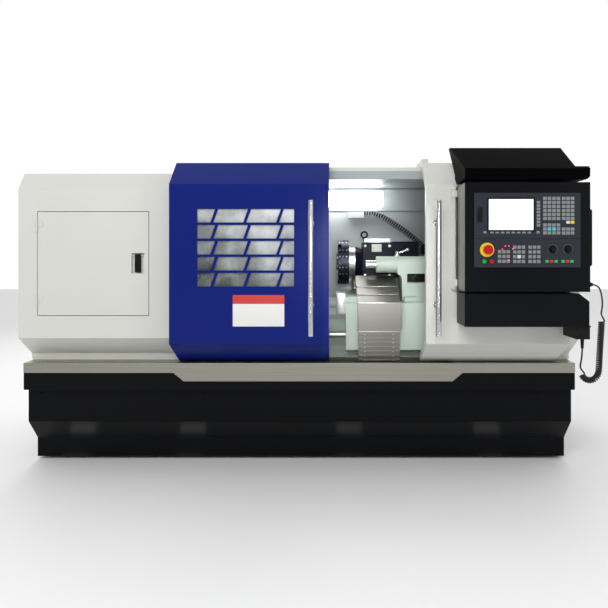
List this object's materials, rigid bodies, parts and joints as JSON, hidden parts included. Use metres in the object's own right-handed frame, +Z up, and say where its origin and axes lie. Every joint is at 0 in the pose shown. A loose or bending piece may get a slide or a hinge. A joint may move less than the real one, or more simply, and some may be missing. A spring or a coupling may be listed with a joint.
{
  "type": "cnc turning lathe",
  "caption": "Flat-bed CNC turning lathe with sliding guard doors, swivelling control panel, chuck, tool turret carriage and tailstock.",
  "frame": {"origin": "on the floor under the middle of the machine: the centre of the underside of its bounding box, cord left out", "axes": "+X along the spindle axis from headstock to tailstock, -Y towards the operator, +Z up"},
  "size_m": [2.6437, 1.4, 1.5],
  "materials": {
    "cover_white": "light grey-white textured powder paint",
    "door_blue": "deep blue satin paint",
    "base_black": "black textured powder paint",
    "hood_dark": "dark grey paint",
    "panel_black": "black satin paint",
    "tray_steel": "brushed stainless steel",
    "casting_green": "pale green machine enamel",
    "guard_grey": "grey paint",
    "steel": "ground steel",
    "chrome": "polished",
    "iron": "machined and oiled",
    "turret_dark": "dark blue-grey enamel",
    "disc_dark": "black oxide steel",
    "armour": "wiped sheet steel",
    "plastic_black": "matt",
    "face_grey": "grey foil face",
    "keys_grey": "foil keys",
    "red_plastic": "gloss",
    "green_plastic": "gloss",
    "cord_black": "polyurethane sheath",
    "window_glass": "laminated safety glass",
    "lamp_white": "diffuser",
    "belt_rubber": "ribbed belt"
  },
  "bodies": {
    "machine": {"base_frame": "base_black", "levelling_feet": "steel", "chip_tray": "tray_steel", "lathe_bed": "casting_green", "headstock": "casting_green", "main_motor": "hood_dark", "left_cover": "cover_white", "back_guard": "guard_grey", "top_rail": "steel", "end_cover": "cover_white", "work_lamp": "lamp_white", "cable_chain": "plastic_black", "electric_cabinet": "cover_white", "z_motor": "hood_dark", "drive_belt": "belt_rubber"},
    "hatch": {"cover_door": "cover_white"},
    "hatch_latch": {"latch_lever": "plastic_black"},
    "left_door": {"sliding_door": "door_blue", "door_window": "window_glass", "door_handle_left": "chrome", "hangers_left": "steel"},
    "right_door": {"right_door": "cover_white", "door_handle_right": "chrome", "hangers_right": "steel", "panel_hood": "hood_dark"},
    "panel": {"panel_box": "panel_black", "lower_console": "panel_black", "control_panel": "face_grey", "panel_keys": "keys_grey", "side_grip": "plastic_black", "pendant_unit": "plastic_black", "cord_gland": "plastic_black", "cord_lead": "cord_black", "cord_coil": "cord_black", "cord_tail": "cord_black"},
    "estop": {"estop_button": "red_plastic"},
    "start": {"start_button": "green_plastic"},
    "stop": {"stop_button": "red_plastic"},
    "feed_knob": {"feed_knob": "plastic_black"},
    "speed_knob": {"speed_knob": "plastic_black"},
    "unit_wheel": {"unit_wheel": "plastic_black"},
    "spindle": {"spindle": "steel", "chuck_body": "iron", "spindle_pulley": "steel"},
    "jaw_1": {"chuck_jaw_1": "iron"},
    "jaw_2": {"chuck_jaw_2": "iron"},
    "jaw_3": {"chuck_jaw_3": "iron"},
    "motor_pulley": {"motor_pulley": "steel"},
    "carriage": {"saddle": "casting_green", "apron_cover": "armour"},
    "feed_screw": {"z_screw": "steel"},
    "cover_stage": {"cover_stage": "armour"},
    "cross_slide": {"cross_slide": "armour", "turret_body": "turret_dark", "turret_motor": "turret_dark"},
    "tool_disc": {"tool_disc": "disc_dark"},
    "tailstock": {"tailstock": "casting_green"},
    "quill": {"quill": "chrome"},
    "tailstock_wheel": {"tailstock_wheel": "chrome"},
    "clamp_lever": {"clamp_lever": "chrome"}
  },
  "joints": [
    {"name": "left_door_slide", "type": "slide", "parent": "machine", "child": "left_door", "axis": [1, 0, 0], "range_m": [-0.62, 0]},
    {"name": "right_door_slide", "type": "slide", "parent": "machine", "child": "right_door", "axis": [1, 0, 0], "range_m": [-0.435, 0]},
    {"name": "panel_swivel", "type": "hinge", "parent": "right_door", "child": "panel", "pos_m": [0.706, -0.504, 1.1], "axis": [0, 0, -1], "range_deg": [0, 40]},
    {"name": "hatch_hinge", "type": "hinge", "parent": "machine", "child": "hatch", "pos_m": [-1.23, -0.3973, 0.975], "axis": [0, 0, -1], "range_deg": [0, 100]},
    {"name": "latch_pull", "type": "hinge", "parent": "hatch", "child": "hatch_latch", "pos_m": [-0.7895, -0.388, 1.0135], "axis": [-1, 0, 0], "range_deg": [0, 30]},
    {"name": "spindle_spin", "type": "hinge", "parent": "machine", "child": "spindle", "pos_m": [-0.42, -0.05, 0.966], "axis": [1, 0, 0], "continuous": true},
    {"name": "motor_spin", "type": "hinge", "parent": "machine", "child": "motor_pulley", "pos_m": [-1.185, 0.33, 0.7], "axis": [1, 0, 0], "continuous": true},
    {"name": "jaw_1_slide", "type": "slide", "parent": "spindle", "child": "jaw_1", "axis": [0, 0, 1], "range_m": [-0.005, 0.005]},
    {"name": "jaw_2_slide", "type": "slide", "parent": "spindle", "child": "jaw_2", "axis": [0, -0.866, -0.5], "range_m": [-0.005, 0.005]},
    {"name": "jaw_3_slide", "type": "slide", "parent": "spindle", "child": "jaw_3", "axis": [0, 0.866, -0.5], "range_m": [-0.005, 0.005]},
    {"name": "carriage_slide", "type": "slide", "parent": "machine", "child": "carriage", "axis": [1, 0, 0], "range_m": [-0.42, 0]},
    {"name": "feed_screw_spin", "type": "hinge", "parent": "machine", "child": "feed_screw", "pos_m": [0.2, -0.23, 0.62], "axis": [1, 0, 0], "continuous": true},
    {"name": "cross_slide_travel", "type": "slide", "parent": "carriage", "child": "cross_slide", "axis": [0, 1, 0], "range_m": [-0.05, 0]},
    {"name": "cover_stage_travel", "type": "slide", "parent": "carriage", "child": "cover_stage", "axis": [0, 1, 0], "range_m": [-0.0251, 0.0001]},
    {"name": "disc_index", "type": "hinge", "parent": "cross_slide", "child": "tool_disc", "pos_m": [0.2175, 0.15, 0.9777], "axis": [1, 0, 0], "continuous": true},
    {"name": "tailstock_slide", "type": "slide", "parent": "machine", "child": "tailstock", "axis": [1, 0, 0], "range_m": [0, 0.22]},
    {"name": "tailstock_wheel_turn", "type": "hinge", "parent": "tailstock", "child": "tailstock_wheel", "pos_m": [0.7, -0.05, 0.966], "axis": [1, 0, 0], "range_deg": [0, 3600]},
    {"name": "quill_slide", "type": "slide", "parent": "tailstock", "child": "quill", "axis": [-1, 0, 0], "range_m": [0, 0.0501]},
    {"name": "clamp_lever_turn", "type": "hinge", "parent": "tailstock", "child": "clamp_lever", "pos_m": [0.5, -0.05, 1.02], "axis": [0, 0, 1], "range_deg": [-70, 0]},
    {"name": "estop_push", "type": "slide", "parent": "panel", "child": "estop", "axis": [0, 1, 0], "range_m": [0, 0.004], "stiffness_N_per_m": 600},
    {"name": "start_push", "type": "slide", "parent": "panel", "child": "start", "axis": [0, 1, 0], "range_m": [0, 0.003], "stiffness_N_per_m": 300},
    {"name": "stop_push", "type": "slide", "parent": "panel", "child": "stop", "axis": [0, 1, 0], "range_m": [0, 0.003], "stiffness_N_per_m": 300},
    {"name": "feed_knob_turn", "type": "hinge", "parent": "panel", "child": "feed_knob", "pos_m": [1.085, -0.67, 1.039], "axis": [0, -1, 0], "range_deg": [-150, 150]},
    {"name": "speed_knob_turn", "type": "hinge", "parent": "panel", "child": "speed_knob", "pos_m": [1.15, -0.67, 1.039], "axis": [0, -1, 0], "range_deg": [-150, 150]},
    {"name": "unit_wheel_turn", "type": "hinge", "parent": "panel", "child": "unit_wheel", "pos_m": [1.26, -0.57, 0.68275], "axis": [1, 0, 0], "continuous": true}
  ],
  "couplings": [
    {"joint": "motor_spin", "follows": "spindle_spin", "ratio": 1.5},
    {"joint": "jaw_2_slide", "follows": "jaw_1_slide", "ratio": 1},
    {"joint": "jaw_3_slide", "follows": "jaw_1_slide", "ratio": 1},
    {"joint": "feed_screw_spin", "follows": "carriage_slide", "rad_per_m": 314.16},
    {"joint": "cover_stage_travel", "follows": "cross_slide_travel", "ratio": 0.5},
    {"joint": "quill_slide", "follows": "tailstock_wheel_turn", "m_per_rad": 0.00079577}
  ]
}
